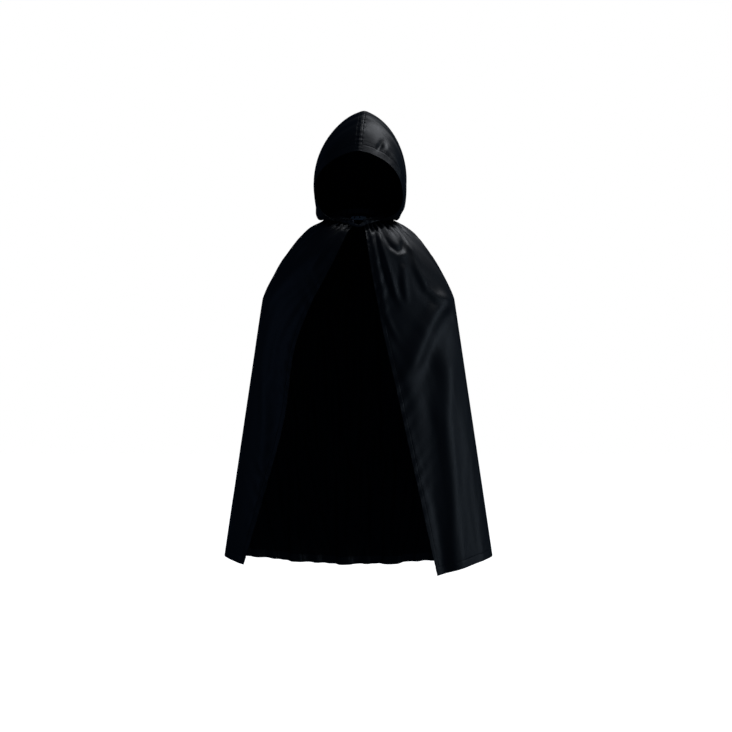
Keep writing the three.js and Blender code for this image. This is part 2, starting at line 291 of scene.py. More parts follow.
BOTH_SIDES = [1, 1, 0]  # outwards is away from the upright axis


def unit(vectors):
    """The same directions at length 1."""
    return vectors / np.maximum(np.linalg.norm(vectors, axis=-1, keepdims=True), 1e-12)


def grid_normals(grid, outward_hint):
    """Unit normals of a grid of points, from the differences along its two directions, turned to
    the side that outward_hint points to."""
    normal = unit(np.cross(np.gradient(grid, axis=1), np.gradient(grid, axis=0)))
    if np.sum(normal * outward_hint) < 0:
        normal = -normal
    return normal


# %% [markdown]
# ## Hanging the cloth
# Folds come from spare width, weight and what the cloth lies on, so they are worked out rather
# than drawn. The cloth is a net of points whose threads keep their length: every step lets each
# point fall a little, then puts the threads back to length, and pushes the points out of the
# wearer's arms and shoulders. A gentle pull on the broad shape alone keeps the cape's outline
# where it should be and leaves the folds free. It runs on a coarse net first, then on finer
# ones, so that large folds settle quickly. Blender's own cloth would do this too, but here the
# outline has to be held while the folds are left free, which takes this pull.

# %% The wearer's shoulders and arms
# Round-ended limbs: two end points and two radii, in millimetres. They are never shown.
LIMBS = [
    ((-88, 4, -52), (88, 4, -52), 44, 44),  # shoulders
    ((0, 4, -70), (0, 0, -400), 84, 78),  # trunk
    ((112, 4, -50), (192, 8, -150), 36, 26),  # left upper arm
    ((192, 8, -150), (90, -64, -285), 24, 16),  # left forearm, hand on hip
    ((-112, 4, -50), (-192, 8, -150), 36, 26),  # right upper arm
    ((-192, 8, -150), (-110, -60, -275), 24, 16),  # right forearm
    ((60, 0, -420), (75, 0, -800), 62, 50),  # legs
    ((-60, 0, -420), (-75, 0, -800), 62, 50),
]


def push_out(points, limbs=LIMBS, gap=1.5):
    """Moves points that are inside a limb straight out to its surface, plus a small gap."""
    for start, end, radius_start, radius_end in limbs:
        start, end = MM * np.array(start, float), MM * np.array(end, float)
        axis = end - start
        share = np.clip((points - start) @ axis / (axis @ axis), 0, 1)
        away = points - start - share[..., None] * axis
        distance = np.linalg.norm(away, axis=-1)
        reach = MM * (radius_start + (radius_end - radius_start) * share + gap)
        inside = distance < reach
        scale = np.where(inside, reach / np.maximum(distance, 1e-9) - 1, 0)
        points += away * scale[..., None]


print("limbs", len(LIMBS))

# %% Threads that keep their length
GIVE_ON_THE_SLANT = 0.35  # satin shears more easily than it stretches


def pull_together(points, first, second, rest, weight_first, weight_second, give=1.0):
    """Puts pairs of points back to their rest distance: each moves along the line between them,
    by its share of the error. first and second are slices of the grid."""
    a, b = points[first], points[second]
    line = b - a
    length = np.sqrt(np.einsum("...k,...k->...", line, line))
    total = np.maximum(weight_first + weight_second, 1e-9)
    scale = give * (length - rest) / np.maximum(length, 1e-9) / total
    line *= scale[..., None]
    points[first] += weight_first[..., None] * line
    points[second] -= weight_second[..., None] * line


def keep_threads(points, across, along, free, bend):
    """One pass over every thread: across, along, both diagonals, and a weak push that stops
    the cloth folding too sharply. across and along are rest lengths; free is 0 where pinned."""
    for start in (0, 1):
        first, second = np.s_[:, start:-1:2], np.s_[:, start + 1 :: 2]
        pull_together(points, first, second, across[:, start::2], free[first], free[second])
    for start in (0, 1):
        first, second = np.s_[start:-1:2, :], np.s_[start + 1 :: 2, :]
        pull_together(points, first, second, along[start::2, :], free[first], free[second])
    slant = np.hypot(across[:-1], along[:, :-1])
    for start in (0, 1):
        for low, high in (((0, -1), (1, None)), ((1, None), (0, -1))):
            first = np.s_[start:-1:2, low[0] : low[1]]
            second = np.s_[start + 1 :: 2, high[0] : high[1]]
            rest, weights = slant[start::2], (free[first], free[second])
            pull_together(points, first, second, rest, *weights, GIVE_ON_THE_SLANT)
    for start in range(4):
        first, second = np.s_[:, start:-2:4], np.s_[:, start + 2 :: 4]
        span = (across[:, :-1] + across[:, 1:])[:, start::4]
        pull_together(points, first, second, span, free[first], free[second], bend)
        first, second = np.s_[start:-2:4, :], np.s_[start + 2 :: 4, :]
        span = (along[:-1, :] + along[1:, :])[start::4, :]
        pull_together(points, first, second, span, free[first], free[second], bend)


def blurred(field, reach, axis):
    """The mean over 2 * reach + 1 neighbours along one axis, the rim repeated outwards."""
    if reach < 1:
        return field
    pad = [(0, 0)] * field.ndim
    pad[axis] = (reach + 1, reach)
    total = np.cumsum(np.pad(field, pad, mode="edge"), axis=axis)
    size = field.shape[axis]
    upper = np.take(total, range(2 * reach + 1, 2 * reach + 1 + size), axis=axis)
    lower = np.take(total, range(0, size), axis=axis)
    return (upper - lower) / (2 * reach + 1)


def finer(field, factor_rows, factor_columns):
    """The same field on a finer grid, straight between the old points."""
    for axis, factor in ((0, factor_rows), (1, factor_columns)):
        size = field.shape[axis]
        place = np.linspace(0, size - 1, (size - 1) * factor + 1)
        low = np.clip(place.astype(int), 0, size - 2)
        share = place - low
        shape = [1] * field.ndim
        shape[axis] = -1
        share = share.reshape(shape)
        field = np.take(field, low, axis) * (1 - share) + np.take(field, low + 1, axis) * share
    return field


# %% Gathers and first folds
GATHER = 21 * MM  # flat cloth in one gather at the neckband
GATHER_HEIGHT = 3.4 * MM  # how far a gather stands in and out there
MIDDLE_HEIGHT, BROAD_HEIGHT = 7 * MM, 15 * MM  # the same for the wider folds further down
MIDDLE_WIDTH, BROAD_WIDTH = 3, 6.5  # and their widths, in gathers


def wander(flat, scale, amount, seed):
    """A slow random drift along the cloth, so that no two folds are the same width."""
    marks = np.random.default_rng(seed).normal(0, amount, int(2.2 / scale) + 3)
    return smooth(np.arange(len(marks)) * scale, marks, flat)


def first_folds(pattern):
    """Starting folds, as heights over the smooth form: gathers at the neck, which run together
    into wider folds further down."""
    flat, down = pattern["flat"], pattern["down"]
    centre = flat - flat[:, -1:] / 2 + 0.7
    fine = np.cos(2 * np.pi * (centre + wander(centre, 0.05, 0.006, 1)) / GATHER)
    middle_place = centre + wander(centre, 0.12, 0.02, 2)
    middle = np.cos(2 * np.pi * middle_place / (MIDDLE_WIDTH * GATHER) + 1.0)
    broad_place = centre + wander(centre, 0.25, 0.045, 3)
    broad = np.cos(2 * np.pi * broad_place / (BROAD_WIDTH * GATHER) + 0.4)
    fine_part = GATHER_HEIGHT * fine * (1 - ease(0.0, 0.12, down))
    middle_part = MIDDLE_HEIGHT * middle * ease(0.0, 0.05, down) * (1 - ease(0.14, 0.42, down))
    broad_part = BROAD_HEIGHT * broad * ease(0.08, 0.4, down)
    return fine_part + middle_part + broad_part


# %% Hang
MOMENTUM = 0.9  # share of each step's motion that carries on
FALL = 0.25 * MM  # what gravity adds at each step
PASSES = 3  # over all the threads, per step
BROAD_ACROSS, BROAD_ALONG = 0.065, 0.03  # reach of the blur that leaves only the broad shape
BROAD_PULL, EDGE_PULL = 0.25, 0.3
EDGE_BAND = 0.02  # how wide a band at each front edge follows its line


def hang(columns, rows, levels, steps, bend):
    """Runs the net from coarse to fine. levels is how many times the grid doubles."""
    points = None
    for level in range(levels + 1):
        factor = 2**level
        pattern = make_pattern([c * factor for c in columns], rows * factor)
        form = pattern["form"]
        normals = grid_normals(form, form * BOTH_SIDES)
        start = form + normals * first_folds(pattern)[..., None]
        points = start.copy() if points is None else finer(points, 2, 2)
        free = np.ones(form.shape[:2])
        free[0] = 0
        points[0] = start[0]
        settle(points, pattern, form, free, steps[level], bend)
    return points, pattern


def settle(points, pattern, form, free, steps, bend):
    """Lets the net fall and come to rest. The pull on the broad shape is the blurred distance
    to the smooth form; the two front edges follow theirs more closely."""
    cell = np.median(pattern["across"][-1])
    reach_across = int(round(BROAD_ACROSS / cell))
    reach_along = int(round(BROAD_ALONG / np.median(pattern["along"])))
    edge = np.zeros(form.shape[1])
    count = max(int(round(EDGE_BAND / cell)), 1)
    edge[:count] = np.linspace(0.5, 0, count)
    edge[-count:] = np.linspace(0, 0.5, count)
    last = points.copy()
    for step in range(steps):
        moved = points + MOMENTUM * (points - last)
        moved[..., 2] -= FALL * free
        last = points.copy()
        points[...] = np.where(free[..., None] > 0, moved, points)
        for _ in range(PASSES):
            keep_threads(points, pattern["across"], pattern["along"], free, bend)
        push_out(points)
        error = form - points
        broad = error
        for _ in range(2):  # twice, because one pass of a running mean feeds short waves back
            broad = blurred(blurred(broad, reach_across, 1), reach_along, 0)
        pull = BROAD_PULL * broad + EDGE_PULL * edge[None, :, None] * error
        points += pull * free[..., None]
    size = np.linalg.norm(np.diff(points, axis=1), axis=2) / pattern["across"]
    print("net", form.shape[:2], "stretch across: mean", round(float(size.mean()), 3))


# %% [markdown]
# ## Cutting
# The net is one grid, and the garment is three pieces sewn along two side seams. Each piece is
# cut from the net between its own columns. Cloth is a thin closed shell: the satin face, the
# dull back and a rim between them, so that it shows a different side inside.

# %% Shells
CLOTH_THICKNESS = 0.45 * MM
LAYER = 0.9 * MM  # from one layer of cloth to the next
SEAM_CLEAR = 0.12 * MM  # each side of a seam
FACE, INSIDE = range(2)  # material slots of a cloth piece
CLOTH_SHARP = 60  # degrees
GRAZING_OFFSET = 0.15  # hides the facets where light just grazes
parts = {}  # every piece by its name


def shell(outer, inner):
    """A closed skin between two grids of the same shape: quads over both and a rim round them.
    Returns vertices, quads facing out, and each quad's material slot."""
    rows, columns = outer.shape[:2]
    index = np.arange(rows * columns).reshape(rows, columns)
    corners = (index[:-1, :-1], index[:-1, 1:], index[1:, 1:], index[1:, :-1])
    top = np.stack(corners, -1).reshape(-1, 4)
    rim = np.concatenate([index[0, :-1], index[:-1, -1], index[-1, :0:-1], index[:0:-1, 0]])
    ahead = np.roll(rim, -1)
    skin = rows * columns
    sides = np.stack([rim, rim + skin, ahead + skin, ahead], -1)
    quads = np.concatenate([top, top[:, ::-1] + skin, sides])
    slots = np.repeat([FACE, INSIDE, FACE], [len(top), len(top), len(sides)])
    facing = np.cross(outer[:-1, 1:] - outer[:-1, :-1], outer[1:, :-1] - outer[:-1, :-1])
    if np.sum(facing * (outer - inner)[:-1, :-1]) < 0:
        quads = quads[:, ::-1]
    return np.concatenate([outer.reshape(-1, 3), inner.reshape(-1, 3)]), quads, slots


def new_mesh(name, vertices, faces, materials):
    """A mesh with its materials, from points and lists of corners."""
    mesh = bpy.data.meshes.new(name)
    mesh.from_pydata(vertices.tolist(), [], faces)
    for material in materials:
        mesh.materials.append(material)
    return mesh


def link_piece(name, mesh, sharp, uv=None, marks=None):
    """Makes an object of the mesh at the origin and keeps it in parts. uv is in metres per
    vertex, so patterns keep their real size, and marks holds named per-vertex numbers for the
    materials. Edges that turn by more than sharp degrees stay sharp."""
    if uv is not None:
        corner = np.empty(len(mesh.loops), np.int32)
        mesh.loops.foreach_get("vertex_index", corner)
        layer = mesh.uv_layers.new(name="cloth")
        layer.data.foreach_set("uv", np.asarray(uv, np.float32)[corner].ravel())
    for key, values in (marks or {}).items():
        attribute = mesh.attributes.new(key, "FLOAT", "POINT")
        attribute.data.foreach_set("value", np.asarray(values, np.float32))
    mesh.shade_smooth()
    mesh.set_sharp_from_angle(angle=np.radians(sharp))
    mesh.update()
    piece = bpy.data.objects.new(name, mesh)
    bpy.context.scene.collection.objects.link(piece)
    parts[name] = piece
    return piece


def add_loose(name, vertices, faces, materials, sharp=40, uv=None, marks=None):
    """A piece whose faces may have any number of corners, all turned to face out."""
    mesh = new_mesh(name, vertices, faces, materials)
    turner = bmesh.new()
    turner.from_mesh(mesh)
    bmesh.ops.recalc_face_normals(turner, faces=turner.faces)
    turner.to_mesh(mesh)
    turner.free()
    return link_piece(name, mesh, sharp, uv, marks)


def add_cloth(name, outer, uv, materials, hint, lift=0.0, marks=None, thickness=CLOTH_THICKNESS):
    """A cloth piece over a grid of points. lift moves it along its normal: below zero is inside."""
    normals = grid_normals(outer, hint)
    face = outer + lift * normals
    vertices, quads, slots = shell(face, face - thickness * normals)
    uv = np.concatenate([uv.reshape(-1, 2)] * 2)
    both = {key: np.concatenate([values.ravel()] * 2) for key, values in (marks or {}).items()}
    mesh = new_mesh(name, vertices, quads.tolist(), materials)
    mesh.polygons.foreach_set("material_index", slots.astype(np.int32))
    piece = link_piece(name, mesh, CLOTH_SHARP, uv, both)
    piece.shadow_terminator_geometry_offset = GRAZING_OFFSET
    piece.shadow_terminator_shading_offset = GRAZING_OFFSET
    return piece


# %% [markdown]
# ## Materials
# Polyester satin floats its threads along the cloth, so its face throws a long soft highlight
# across them and stays nearly black elsewhere; the back of the cloth is duller. The weave is
# drawn from the piece's own flat coordinates in metres. Real satin has about ten threads to a
# millimetre, too fine to draw, so the ribs are coarsened to 0.7 mm.

# %% Material nodes
RIB = 0.7 * MM
RIB_WAVE = 0.314 / RIB  # Blender's bands repeat every 0.314 / scale metres
RIB_HEIGHT, CREASE_HEIGHT = 0.010 * MM, 0.22 * MM
STREAK_STRETCH, CREASE_STRETCH = (900.0, 22.0, 1.0), (55.0, 30.0, 1.0)
GROOVE_DEPTH, GROOVE_HALF = 0.35 * MM, 1.6 * MM  # the dip that a stitch row draws in
PUCKER_HEIGHT, PUCKER_REACH, PUCKER_STRETCH = 0.7 * MM, 26 * MM, (70.0, 70.0, 1.0)
STITCH_INSET = 9.5 * MM  # a stitch row's distance from its edge


def new_tree(name):
    """A new material with an empty node tree."""
    material = bpy.data.materials.new(name)
    material.use_nodes = True
    material.node_tree.nodes.clear()
    return material, material.node_tree


def add_node(tree, kind, inputs=None, **settings):
    """Adds a node, gives it its settings, and fills its inputs with values or other outputs."""
    node = tree.nodes.new(kind)
    for key, value in settings.items():
        setattr(node, key, value)
    for key, value in (inputs or {}).items():
        if isinstance(value, bpy.types.NodeSocket):
            tree.links.new(value, node.inputs[key])
        else:
            node.inputs[key].default_value = value
    return node


def math(tree, operation, *values, clamp=False):
    """One arithmetic node, its inputs numbers or other nodes' outputs."""
    inputs = dict(enumerate(values))
    return add_node(tree, "ShaderNodeMath", inputs, operation=operation, use_clamp=clamp).outputs[0]


def stretched_noise(tree, place, stretch, detail=2.0):
    """Noise with features of about 1 / stretch metres along each axis of place."""
    scaled = add_node(tree, "ShaderNodeVectorMath", {0: place, 1: stretch}, operation="MULTIPLY")
    inputs = {"Vector": scaled.outputs[0], "Scale": 1.0, "Detail": detail}
    return add_node(tree, "ShaderNodeTexNoise", inputs).outputs["Fac"]


def finish_surface(tree, colour, height, distance, **shader):
    """Joins a colour and a height in metres to a Principled surface and the output."""
    inputs = {"Height": height, "Distance": distance, "Strength": 1.0}
    bump = add_node(tree, "ShaderNodeBump", inputs)
    values = {key.replace("_", " "): value for key, value in shader.items()}
    values.update({"Base Color": colour, "Normal": bump.outputs[0]})
    surface = add_node(tree, "ShaderNodeBsdfPrincipled", values)
    add_node(tree, "ShaderNodeOutputMaterial", {"Surface": surface.outputs[0]})


def two_tone(tree, factor, low, high):
    """A colour that runs from low to high with the factor."""
    inputs = {0: factor, 6: srgb(low), 7: srgb(high)}
    return add_node(tree, "ShaderNodeMix", inputs, data_type="RGBA").outputs[2]


def cloth_material(name, low, high, roughness, streak, hem=False, **shader):
    """Woven cloth. Its height adds fine ribs, streaks along the threads, soft creases and, near a
    sewn edge, the stitch groove with its small puckers."""
    material, tree = new_tree(name)
    flat = add_node(tree, "ShaderNodeUVMap", uv_map="cloth").outputs[0]
    streaks = stretched_noise(tree, flat, STREAK_STRETCH, 3.0)
    creases = stretched_noise(tree, flat, CREASE_STRETCH, 2.0)
    wave = {"Vector": flat, "Scale": RIB_WAVE, "Distortion": 0.4, "Detail": 1.0}
    ribs = add_node(tree, "ShaderNodeTexWave", wave, bands_direction="X").outputs["Fac"]
    height = math(tree, "MULTIPLY", ribs, RIB_HEIGHT)
    height = math(tree, "MULTIPLY_ADD", streaks, streak * MM, height)
    height = math(tree, "MULTIPLY_ADD", creases, CREASE_HEIGHT, height)
    if hem:
        reach = add_node(tree, "ShaderNodeAttribute", attribute_name="from_edge").outputs["Fac"]
        off_line = math(tree, "ABSOLUTE", math(tree, "SUBTRACT", reach, STITCH_INSET))
        groove, near = (
            math(tree, "SUBTRACT", 1.0, math(tree, "DIVIDE", distance, width), clamp=True)
            for distance, width in ((off_line, GROOVE_HALF), (reach, PUCKER_REACH))
        )
        pucker = math(tree, "MULTIPLY", near, stretched_noise(tree, flat, PUCKER_STRETCH, 1.0))
        height = math(tree, "MULTIPLY_ADD", groove, -GROOVE_DEPTH, height)
        height = math(tree, "MULTIPLY_ADD", pucker, PUCKER_HEIGHT, height)
    colour = two_tone(tree, streaks, low, high)
    tangent = add_node(tree, "ShaderNodeTangent", direction_type="UV_MAP", uv_map="cloth")
    shader = {"Roughness": roughness, "Tangent": tangent.outputs[0], **shader}
    finish_surface(tree, colour, height, 1.0, **shader)
    return material


def plain_material(name, low, high, scale, rise, **shader):
    """A finish without a weave: mottled colour and a slight unevenness, by object position."""
    material, tree = new_tree(name)
    place = add_node(tree, "ShaderNodeTexCoord").outputs["Object"]
    mottle = stretched_noise(tree, place, (scale, scale, scale), 3.0)
    height = math(tree, "MULTIPLY", mottle, rise * MM)
    finish_surface(tree, two_tone(tree, mottle, low, high), height, 1.0, **shader)
    return material


# %% Materials
# Black polyester satin, face side: nearly black, slightly blue, glossy across the threads.
SATIN = cloth_material(
    "black_polyester_satin", "#03080d", "#060c13", 0.47, 0.020, hem=True, Anisotropic=0.55, IOR=1.5
)
# The same cloth's back: short floats, so it is matt and darker.
SATIN_BACK = cloth_material("satin_reverse", "#03060b", "#070a11", 0.72, 0.030, IOR=1.4)
# Closure tab: the satin doubled and pressed, coloured a little greyer all over than the satin as
# painted sheen.
TAB_SATIN_PAINTED_SHEEN = cloth_material(
    "tab_satin_painted_sheen", "#0e131a", "#181e27", 0.50, 0.020, Anisotropic=0.4, IOR=1.5
)
# Care label: white woven nylon tape, blank.
LABEL_TAPE = cloth_material("white_nylon_tape", "#dcdad3", "#f0eee8", 0.75, 0.060)
# Sewing thread: matt black spun polyester, a little lighter than the satin.
THREAD = plain_material("black_spun_thread", "#06070a", "#0f1115", 900.0, 0.05, Roughness=0.8)
# Snap: stamped brass, painted dark.
SNAP_METAL = plain_material(
    "dark_enamelled_brass", "#22242a", "#3b3e46", 700.0, 0.01, Metallic=0.85, Roughness=0.33
)
print("materials", sorted(material.name for material in bpy.data.materials))

# %% [markdown]
# ## Panels, hems and seams
# The hanging is worked out once, then cut. Each front edge and the bottom carry a turned hem,
# which is a second layer just inside, and the seams leave spare cloth inside too.

# %% Hang the cape
COLUMNS = (11, 48, 15)  # coarse steps across the right front, the back and the left front
ROWS = 45
LEVELS = 2
net, pattern = hang(COLUMNS, ROWS, LEVELS, [120, 80, 50][: LEVELS + 1], 0.08)

# %% [markdown]
# ## Folds pulled by the neck and the elbow
# A net that only hangs gives soft upright folds. The real fronts are also pulled, from the neck
# and over the bent elbow, and cloth under a pull makes straight ridges that fan out from where
# it is held. Each is laid as a line on the flat cloth, because that is where it stays put.

# %% Pulled folds on the fronts
# Each line is in millimetres from the front edge and down from the neck, with the fold's width
# and height. A width below zero puts the valley on the other side of the crest.
LEFT_FOLDS = [
    ([(18, 30), (16, 150), (12, 240), (34, 322)], 7, 3),  # beside the front edge
    ([(34, 30), (40, 128), (45, 203), (60, 245)], 8, 4.5),  # from the neck
    ([(84, 146), (71, 190), (65, 236)], 8, 2.5),
    ([(50, 40), (55, 84), (64, 110), (79, 123), (96, 121), (110, 104), (120, 70)], 6, -2.6),  # loop
    ([(126, 100), (118, 165), (124, 203), (142, 221), (184, 230)], 10, 3),  # shoulder to elbow
    ([(200, 222), (146, 246), (104, 286), (74, 326), (38, 368), (6, 408)], -21, 8),  # fan
    ([(160, 320), (146, 368), (110, 477), (94, 592), (62, 795)], 27, 8),  # elbow to hem
]
RIGHT_FOLDS = [
    ([(24, 8), (34, 90), (44, 180)], 9, 3),
    ([(60, 8), (84, 70), (118, 150)], 12, 3),
    ([(80, 380), (62, 446), (35, 548), (14, 640)], 18, 3.5),  # faint
    ([(16, 600), (14, 700), (14, 795)], 12, 3),
]
SEAM_REACH = 0.028  # how far the folds die away beside a side seam
KEPT_FOLDS = 0.12  # how much of the net's own folds stays on the fronts


def distance_to_line(place, corners):
    """Signed distance from each flat point to a line of segments, and how far along it lies."""
    corners = np.array(corners, float)
    starts, spans = corners[:-1], np.diff(corners, axis=0)
    share = np.clip(((place[..., None, :] - starts) * spans).sum(-1) / (spans**2).sum(-1), 0, 1)
    away = place[..., None, :] - starts - share[..., None] * spans
    distance = np.linalg.norm(away, axis=-1)
    nearest = distance.argmin(-1)[..., None]
    turn = np.sign(spans[:, 0] * away[..., 1] - spans[:, 1] * away[..., 0])
    lengths = np.linalg.norm(spans, axis=1)
    before = np.concatenate([[0], np.cumsum(lengths)[:-1]])
    along = (before + share * lengths) / lengths.sum()
    pick = lambda field: np.take_along_axis(field, nearest, -1)[..., 0]
    return pick(distance) * pick(turn), pick(along)


def pull_folds(net, pattern, piece, folds):
    """Adds pulled folds to a front: each is a crest with a shallow valley on one side, height
    (exp(-(d/w)^2) - 0.5 exp(-((d - 1.7 w)/w)^2)), fading out at both ends. The net's own folds
    are kept whole at the neck and at the side seam, and only in part between."""
    start, end = column_at(piece)
    columns = slice(start, end + 1)
    flat, down = pattern["flat"][:, columns], pattern["down"][:, columns]
    from_front, from_seam = flat[:, -1:] - flat, flat - flat[:, :1]
    if piece == RIGHT:
        from_front, from_seam = from_seam, from_front
    place = np.stack([from_front, down * CLOTH_LENGTH], -1) / MM
    height = np.zeros(flat.shape)
    for corners, width, rise in folds:
        distance, along = distance_to_line(place, corners)
        crest = np.exp(-((distance / width) ** 2))
        valley = 0.5 * np.exp(-(((distance - 1.7 * width) / width) ** 2))
        reaches_hem = corners[-1][1] > CLOTH_LENGTH / MM - 1
        fade = ease(0, 0.15, along) * (1 if reaches_hem else 1 - ease(0.7, 1, along))
        height += rise * (crest - valley) * fade
    height *= ease(0, 25, place[..., 0]) * 0.6 + 0.4
    height *= ease(0, 30, place[..., 1]) * ease(0, 40, from_seam / MM)
    form = pattern["form"][:, columns]
    own = net[:, columns] - form
    calm = ease(0.02, 0.12, down) * ease(0, 0.05, from_seam)
    own = own * (1 - (1 - KEPT_FOLDS) * calm)[..., None]
    normals = grid_normals(form, form * BOTH_SIDES)
    net[:, columns] = form + own + MM * height[..., None] * normals


def column_at(piece):
    """The net's columns where a piece starts and ends."""
    edges = np.cumsum([0, *COLUMNS]) * 2**LEVELS
    return edges[piece], edges[piece + 1]


def pucker_edges(net, pattern):
    """Small slanting waves where each front hem's stitching draws the cloth up, dying away
    within a few centimetres of the edge."""
    flat, down = pattern["flat"], pattern["down"] * CLOTH_LENGTH
    normals = grid_normals(net, net * BOTH_SIDES)
    for reach, seed in ((flat[:, -1:] - flat, 5), (flat - flat[:, :1], 6)):
        place = down + 0.8 * reach
        phase = wander(place, 0.07, 0.008, seed)
        strength = 0.6 + 0.4 * np.cos(2 * np.pi * (place + 3 * phase) / 0.21)
        wave = np.cos(2 * np.pi * (place + phase) / 0.036) * strength
        height = 1.7 * MM * wave * np.exp(-reach / 0.022) * ease(0.02, 0.1, down)
        net += height[..., None] * normals


def straighten_seams(net, pattern):
    """Each side seam runs straight down from the elbow, on the line that its front swings about,
    so that it stays shut. The folds die away within a few centimetres of it."""
    flat, down = pattern["flat"], pattern["down"]
    for piece in (BACK, LEFT):
        seam = flat[:, column_at(piece)[0]][:, None]
        near = np.exp(-(((flat - seam) / SEAM_REACH) ** 2)) * ease(0.12, 0.28, down)
        net += near[..., None] * (pattern["form"] - net)


for piece, folds in ((LEFT, LEFT_FOLDS), (RIGHT, RIGHT_FOLDS)):
    pull_folds(net, pattern, piece, folds)
straighten_seams(net, pattern)
pucker_edges(net, pattern)
off_form = np.linalg.norm(net - pattern["form"], axis=2)
print("cloth off the smooth form: mean", round(float(off_form.mean() / MM), 1), "mm")

# %% Cut it
EDGE_HEM = 12 * MM
BOTTOM_HEM = 18 * MM
SEAM_ALLOWANCE = 12 * MM
SEAM_OVERLAP = 2.4 * MM  # the spare cloth reaches behind the front piece, where it is sewn


def sink_seam(grid, columns, depth=0.7 * MM):
    """Draws the cloth in along a seam, and stops it just short of the seam line."""
    normals = grid_normals(grid, grid * BOTH_SIDES)
    for end, beside in columns:
        grid[:, end] += SEAM_CLEAR * unit(grid[:, beside] - grid[:, end])
        grid[:, end] -= depth * normals[:, end]


def cut_panel(piece):
    """One piece of the net, with its flat coordinates and its distance from the sewn edges."""
    start, end = column_at(piece)
    columns = slice(start, end + 1)
    grid, flat = net[:, columns].copy(), pattern["flat"][:, columns]
    down = pattern["down"][:, columns] * CLOTH_LENGTH
    top = pattern["form"][0, columns]
    pressed = top + 0.1 * (grid[0] - top)  # the gathers are pressed flat where they are sewn in
    grid[0] = pressed - MM * unit(pressed * BOTH_SIDES) + [0, 0, 1.2 * MM]
    sink_seam(grid, {RIGHT: [(-1, -2)], BACK: [(0, 1), (-1, -2)], LEFT: [(0, 1)]}[piece])
    from_hem = CLOTH_LENGTH - down
    from_front = {RIGHT: flat - flat[:, :1], BACK: flat * 0 + 1, LEFT: flat[:, -1:] - flat}[piece]
    reach = np.minimum(from_hem * STITCH_INSET / (BOTTOM_HEM - 2 * MM), from_front)
    uv = np.stack([flat, down], -1)
    return {"grid": grid, "uv": uv, "reach": reach, "from_front": from_front}


def strip(panel, near, far, count=4, rows=slice(None)):
    """A strip of a front panel between two distances from its front edge, or of the back between
    two distances from either side, read off its rows."""
    rows_kept = range(*rows.indices(panel["grid"].shape[0]))
    places = np.linspace(near, far, count)
    points, flats = [], []
    for row in rows_kept:
        reach, line = panel["from_front"][row], panel["grid"][row]
        order = np.argsort(reach)
        values = np.column_stack([line, panel["uv"][row]])[order]
        points.append([np.interp(places, reach[order], column) for column in values.T])
    sampled = np.array(points).transpose(0, 2, 1)
    return sampled[..., :3], sampled[..., 3:]


panels = {"back": cut_panel(BACK), "left": cut_panel(LEFT), "right": cut_panel(RIGHT)}
hem_rows = max(int(round(BOTTOM_HEM / CLOTH_LENGTH * (net.shape[0] - 1))), 1)


def add_turned(name, grid, uv, hint):
    """A second layer of the satin just inside the first, its dull side out."""
    add_cloth(name, grid, uv, [SATIN_BACK, SATIN], hint, lift=-LAYER)


for word, panel in panels.items():
    name = "back_panel" if word == "back" else f"{word}_front"
    add_cloth(
        name, panel["grid"], panel["uv"], [SATIN, SATIN_BACK], panel["grid"] * BOTH_SIDES,
        marks={"from_edge": panel["reach"]},
    )
    low, uv = panel["grid"][-hem_rows - 1 :], panel["uv"][-hem_rows - 1 :]
    add_turned("back_hem" if word == "back" else f"{word}_bottom_hem", low, uv, low * BOTH_SIDES)
for word in ("left", "right"):
    hem, uv = strip(panels[word], 0.0, EDGE_HEM, rows=slice(0, -hem_rows - 1))
    add_turned(f"{word}_edge_hem", hem, uv, hem * BOTH_SIDES)
    back = dict(panels["back"])
    flat = back["uv"][..., 0]
    back["from_front"] = flat - flat[:, :1] if word == "right" else flat[:, -1:] - flat
    seam, uv = strip(back, 0.4 * MM, SEAM_ALLOWANCE, rows=slice(0, -hem_rows - 1))
    seam[:, 0] += SEAM_OVERLAP * unit(seam[:, 0] - seam[:, 1])
    add_turned(f"{word}_side_seam", seam, uv, seam * BOTH_SIDES)
print("panels", {name: len(piece.data.vertices) for name, piece in parts.items()})

# %% [markdown]
# ## Stitches
# A lockstitch shows as a row of short thread beads, each lying in its own small dip. One bead is
# modelled once and repeated along a line on the cloth.

# %% Stitch rows
STITCH_PITCH = 3.6 * MM
STITCH_LENGTH = 2.8 * MM
THREAD_RADIUS = 0.22 * MM
THREAD_LIFT = 0.12 * MM  # a bead's middle above the cloth
BEAD_SIDES = 6
BEAD_PLACES = (-0.5, -0.3, 0.3, 0.5)  # of the four sections, in stitch lengths
BEAD_SWELL = (0.35, 1, 1, 0.35)  # their radii, in thread radii


def walk(path, pitch):
    """Points at even distances along a line of points, with the direction there."""
    length = np.concatenate([[0], np.cumsum(np.linalg.norm(np.diff(path, axis=0), axis=1))])
    places = np.arange(pitch, length[-1] - pitch / 2, pitch)
    look = lambda at: np.stack([np.interp(at, length, axis) for axis in path.T], -1)
    ahead = unit(look(places + pitch / 4) - look(places - pitch / 4))
    return look(places), ahead, places / length[-1]


